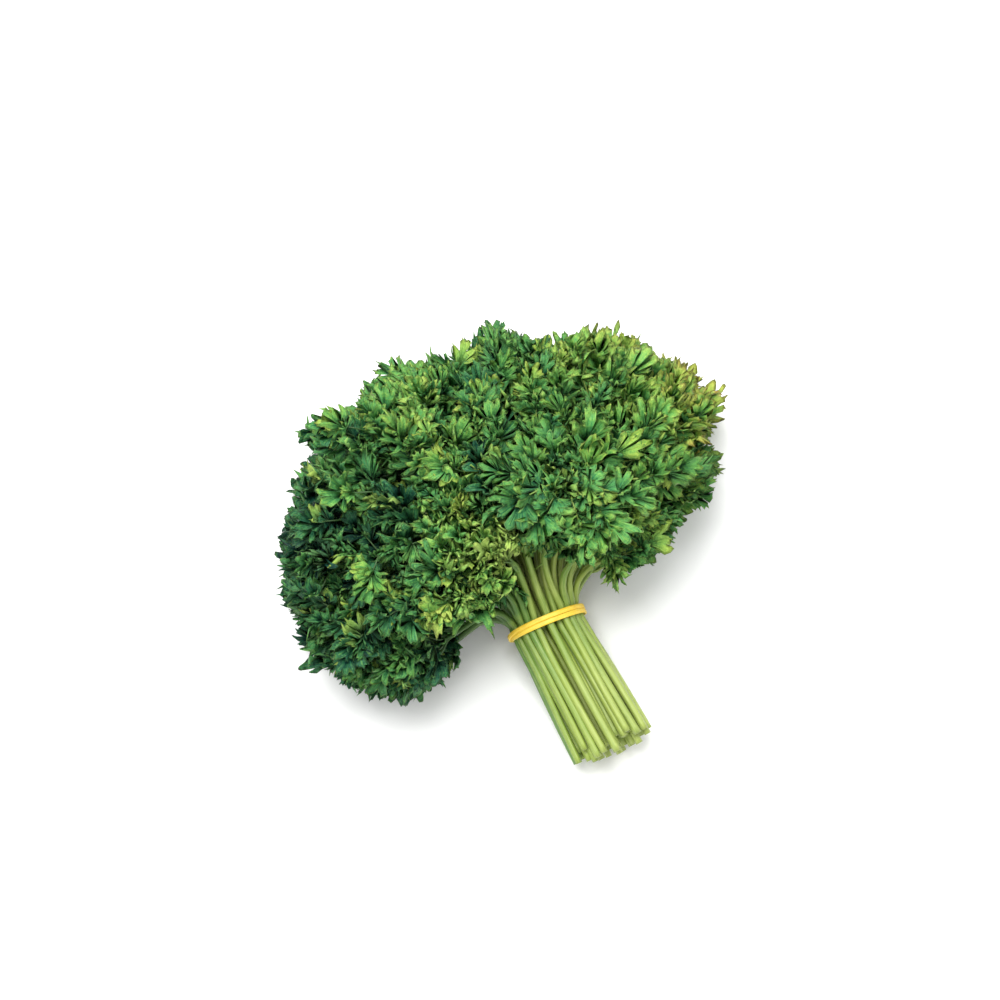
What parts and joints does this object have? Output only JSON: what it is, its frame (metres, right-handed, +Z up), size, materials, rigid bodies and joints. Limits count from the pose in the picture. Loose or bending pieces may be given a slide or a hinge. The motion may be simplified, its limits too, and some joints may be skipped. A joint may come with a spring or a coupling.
{
  "type": "curly parsley bunch",
  "caption": "Tied bunch of curly parsley lying on its side: ruffled green heads fan out over the table from straight stems held by a yellow rubber band.",
  "frame": {"origin": "middle of the bounding box, on the table that the bunch lies on", "axes": "+Z up from the table, +X along the longer side of the head, to the right in the picture, and +Y towards the leafy end, which is the picture's top"},
  "size_m": [0.206, 0.1978, 0.0938],
  "materials": {
    "parsley": "soft green leaf with a slight sheen, and pale yellow-green stems",
    "yellow_rubber": "matte golden yellow rubber"
  },
  "bodies": {
    "root": {"rubber_band": "yellow_rubber", "sprig_01": "parsley", "sprig_02": "parsley", "sprig_03": "parsley", "sprig_04": "parsley", "sprig_05": "parsley", "sprig_06": "parsley", "sprig_07": "parsley", "sprig_08": "parsley", "sprig_09": "parsley", "sprig_10": "parsley", "sprig_11": "parsley", "sprig_12": "parsley", "sprig_13": "parsley", "sprig_14": "parsley", "sprig_15": "parsley", "sprig_16": "parsley", "sprig_17": "parsley", "sprig_18": "parsley", "sprig_19": "parsley", "sprig_20": "parsley", "sprig_21": "parsley", "sprig_22": "parsley", "sprig_23": "parsley", "sprig_24": "parsley", "sprig_25": "parsley", "sprig_26": "parsley", "sprig_27": "parsley", "sprig_28": "parsley", "sprig_29": "parsley", "sprig_30": "parsley", "sprig_31": "parsley", "sprig_32": "parsley", "sprig_33": "parsley", "sprig_34": "parsley", "sprig_35": "parsley", "sprig_36": "parsley", "sprig_37": "parsley", "sprig_38": "parsley", "sprig_39": "parsley", "sprig_40": "parsley", "sprig_41": "parsley", "sprig_42": "parsley", "sprig_43": "parsley", "sprig_44": "parsley", "sprig_45": "parsley", "sprig_46": "parsley", "sprig_47": "parsley", "sprig_48": "parsley", "sprig_49": "parsley", "sprig_50": "parsley", "sprig_51": "parsley", "sprig_52": "parsley", "sprig_53": "parsley", "sprig_54": "parsley", "sprig_55": "parsley", "sprig_56": "parsley"}
  },
  "joints": []
}
